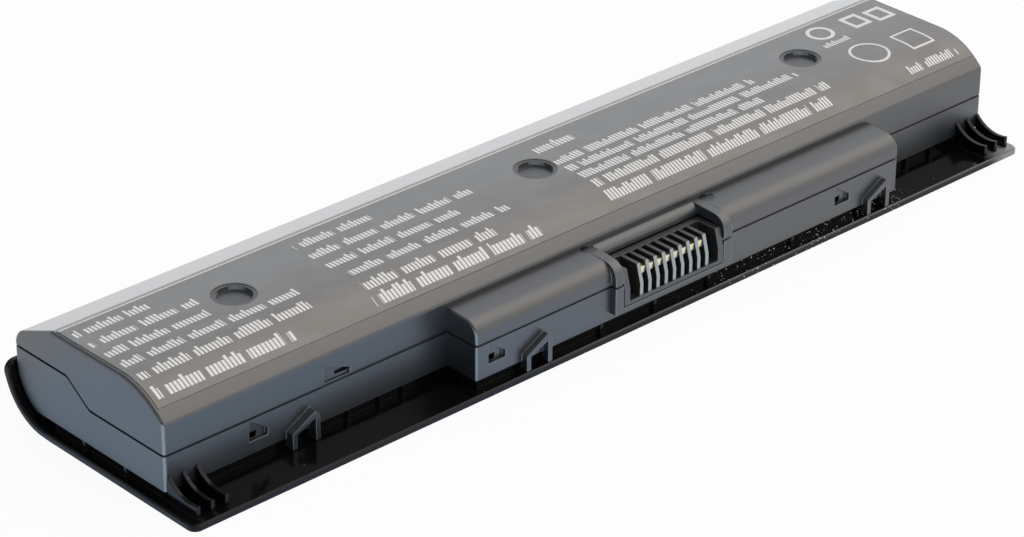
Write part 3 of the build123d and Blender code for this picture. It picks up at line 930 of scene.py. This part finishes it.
@dataclass
class CombInsert(Moulding):
    """The comb of the connector, with a painted highlight on the fronts of its ribs."""

    rib_foot: float = 6.4 * MM
    facing: float = 0.45
    front: float = -23.9 * MM

    def painted_highlight(self, face: bmesh.types.BMFace) -> float:
        """Returns 1 on the ribs' front faces, which get the painted highlight, and 0 elsewhere."""
        middle = face.calc_center_median()
        on_front = middle.y < self.front and middle.z > self.rib_foot
        return float(on_front and face.normal.y < -self.facing)


@dataclass
class Wardrobe:
    """The materials, one to each slot of the record."""

    finishes: dict[str, Finish]

    def __post_init__(self) -> None:
        """Makes the materials."""
        self.materials = {slot: finish.material(slot) for slot, finish in self.finishes.items()}

    def dress_nodes(self) -> int:
        """Gives every CAD node the finish of its slot.

        Returns:
            How many nodes were dressed.
        """
        slots = {row["node"]: row["material_slot"] for row in frame["record"]["subparts"]}
        for node, thing in frame["nodes"].items():
            thing.data.materials.clear()
            thing.data.materials.append(self.materials[slots[node]])
        return len(frame["nodes"])


@dataclass
class PhotoCamera:
    """The camera at the photograph's place."""

    eye: Point = (-0.403087, -0.424548, 0.318535)
    target: Point = (-0.014693, -0.006495, 0.0092)
    roll: float = math.radians(0.2776)
    lens: float = 127.85
    sensor: float = 36.0
    nearest: float = 0.01

    def build(self) -> bpy.types.Object:
        """Places the camera.

        Returns:
            The camera object.
        """
        data = bpy.data.cameras.new("photo_camera")
        data.sensor_fit = "HORIZONTAL"
        data.sensor_width = self.sensor
        data.lens = self.lens
        data.clip_start = self.nearest
        camera = bpy.data.objects.new("photo_camera", data)
        bpy.context.scene.collection.objects.link(camera)
        back = (Vector(self.eye) - Vector(self.target)).normalized()
        level = Vector((0.0, 0.0, 1.0)).cross(back).normalized()
        upright = back.cross(level)
        right = math.cos(self.roll) * level + math.sin(self.roll) * upright
        up = math.cos(self.roll) * upright - math.sin(self.roll) * level
        turn = Matrix((right, up, back)).transposed().to_4x4()
        camera.matrix_world = Matrix.Translation(Vector(self.eye)) @ turn
        bpy.context.scene.camera = camera
        return camera


@dataclass(frozen=True)
class SoftLamp:
    """A square lamp that faces the object."""

    name: str
    place: Point
    width: float
    power: float
    colour: Colour

    def build(self) -> bpy.types.Object:
        """Hangs the lamp.

        Returns:
            The lamp object.
        """
        data = bpy.data.lights.new(self.name, "AREA")
        data.shape = "SQUARE"
        data.size = self.width
        data.energy = self.power
        data.color = self.colour
        lamp = bpy.data.objects.new(self.name, data)
        bpy.context.scene.collection.objects.link(lamp)
        lamp.rotation_euler = Vector(self.place).to_track_quat("Z", "Y").to_euler()
        lamp.location = self.place
        return lamp


@dataclass
class Studio:
    """A pale floor, a pale sky with a soft glow in it, and one soft lamp."""

    floor_size: float = 6.0
    floor_colour: Colour = (0.9, 0.9, 0.9)
    floor_white: float = 0.94
    floor_mirrored: Colour = (0.94, 0.95, 0.97)
    floor_cool: Colour = (0.72, 0.9, 1.14)
    horizon: Colour = (0.95, 0.96, 0.98)
    sky_right: Colour = (0.62, 0.64, 0.67)
    sky_left: Colour = (0.28, 0.3, 0.33)
    glow_towards: Point = (0.61, -0.25, 0.74)
    glow_rim: float = 0.35
    glow_front: Colour = (1.3, 1.2, 1.1)
    glow_back: Colour = (1.5, 1.55, 1.6)
    sky_sides: Reach = (-0.4, 0.3)
    sky_rise: Reach = (0.12, 0.42)
    glow_sides: Reach = (-0.1, 0.6)
    cool_along: Reach = (50.0 * MM, -50.0 * MM)
    cool_across: Reach = (50.0 * MM, 25.0 * MM)
    lamp: SoftLamp = SoftLamp("key_softbox", (0.75, -0.3, 0.95), 1.0, 1.5, (1.0, 0.95, 0.9))

    def build_floor(self) -> bpy.types.Object:
        """Lays the floor under the object.

        Returns:
            The floor, which isn't part of the object.
        """
        shape = bmesh.new()
        bmesh.ops.create_grid(shape, x_segments=1, y_segments=1, size=self.floor_size / 2)
        mesh = bpy.data.meshes.new("floor")
        shape.to_mesh(mesh)
        shape.free()
        floor = bpy.data.objects.new("floor", mesh)
        bpy.context.scene.collection.objects.link(floor)
        material = bpy.data.materials.new("floor")
        material.use_nodes = True
        graph = Graph(material.node_tree)
        rays = graph.node("ShaderNodeLightPath", {}, {})
        camera, glossy, through = (
            Socket(graph, rays.outputs[f"Is {kind} Ray"]) for kind in ("Camera", "Glossy", "Transmission")
        )
        seen = camera.most(glossy).most(through)
        matte = graph.node("ShaderNodeBsdfDiffuse", {}, {"Color": opaque(self.floor_colour)})
        along, across, _ = graph.axes(graph.coordinates())
        cool = along.ease(*self.cool_along) * across.ease(*self.cool_across)
        mirrored = graph.blend(cool, self.floor_mirrored, self.floor_cool)
        shown = graph.blend(camera, mirrored, WHITE)
        white = graph.node("ShaderNodeEmission", {}, {"Color": shown, "Strength": 1.0})
        shaders = {1: Socket(graph, matte.outputs[0]), 2: Socket(graph, white.outputs[0])}
        mixed = graph.node("ShaderNodeMixShader", {}, {0: seen * self.floor_white, **shaders})
        graph.node("ShaderNodeOutputMaterial", {}, {"Surface": Socket(graph, mixed.outputs[0])})
        floor.data.materials.append(material)
        return floor

    def build_sky(self) -> None:
        """Fills the world with a pale sky that is white to the camera."""
        world = bpy.data.worlds.new("studio")
        bpy.context.scene.world = world
        world.use_nodes = True
        graph = Graph(world.node_tree)
        towards = graph.directions()
        aside, across, height = graph.axes(towards)
        above = graph.blend(aside.ease(*self.sky_sides), self.sky_left, self.sky_right)
        glow = graph.blend(across.ease(*self.glow_sides), self.glow_front, self.glow_back)
        lit = graph.nearness(towards, self.glow_towards).ease(self.glow_rim, 1.0)
        above = graph.blend(lit, above, glow)
        shade = graph.blend(height.ease(*self.sky_rise), self.horizon, above)
        rays = graph.node("ShaderNodeLightPath", {}, {})
        seen = Socket(graph, rays.outputs["Is Camera Ray"])
        colour = graph.blend(seen, shade, WHITE)
        background = graph.node("ShaderNodeBackground", {}, {"Color": colour, "Strength": 1.0})
        graph.node("ShaderNodeOutputWorld", {}, {"Surface": Socket(graph, background.outputs[0])})

    def build(self) -> None:
        """Builds the floor, the sky and the lamp."""
        self.build_floor()
        self.build_sky()
        self.lamp.build()


def main() -> None:
    """Builds the camera, the dressed pieces and the studio in order."""
    logging.basicConfig(level=logging.INFO)
    view_settings = bpy.context.scene.view_settings
    view_settings.view_transform = "Standard"
    PhotoCamera().build()
    wardrobe = Wardrobe(
        {
            "cover_plastic": CoverPlastic(),
            "case_plastic": SatinPlastic(),
            "label_film": PrintedFilm(),
            "connector_plastic": CombPlastic(),
            "gilt_contact": PlainFinish((0.93, 0.84, 0.55), 0.3, metallic=1.0, mottle=0.1),
            "cell_sleeve": PlainFinish((0.04, 0.034, 0.032), 0.35),
            "nickel_strip": PlainFinish((0.66, 0.63, 0.58), 0.35, metallic=1.0),
            "board_laminate": PlainFinish((0.02, 0.12, 0.05), 0.4),
            "chip_resin": PlainFinish((0.02, 0.02, 0.02), 0.5),
            "fuse_body": PlainFinish((0.7, 0.68, 0.6), 0.5),
            "resistor_body": PlainFinish((0.03, 0.03, 0.035), 0.4),
            "bead_resin": PlainFinish((0.05, 0.03, 0.02), 0.2),
            "insulating_paper": PlainFinish((0.5, 0.44, 0.34), 0.9),
        }
    )
    mouldings = [
        CoverPlate("outer_cover", "cover_plate", "cover_plastic"),
        CaseHalf("lower_case", "lower_shell", "case_plastic"),
        CaseHalf("upper_case", "upper_shell", "case_plastic"),
        LabelSheet("label_film", "label_sheet", "label_film"),
        CombInsert("connector_housing", "connector_comb", "connector_plastic"),
    ]
    for moulding in mouldings:
        piece = moulding.build(wardrobe.materials[moulding.slot])
        log.info("%s: %d faces", piece.name, len(piece.data.polygons))
    log.info("CAD nodes with a finish: %d", wardrobe.dress_nodes())
    Studio().build()


if __name__ == "__main__":
    main()
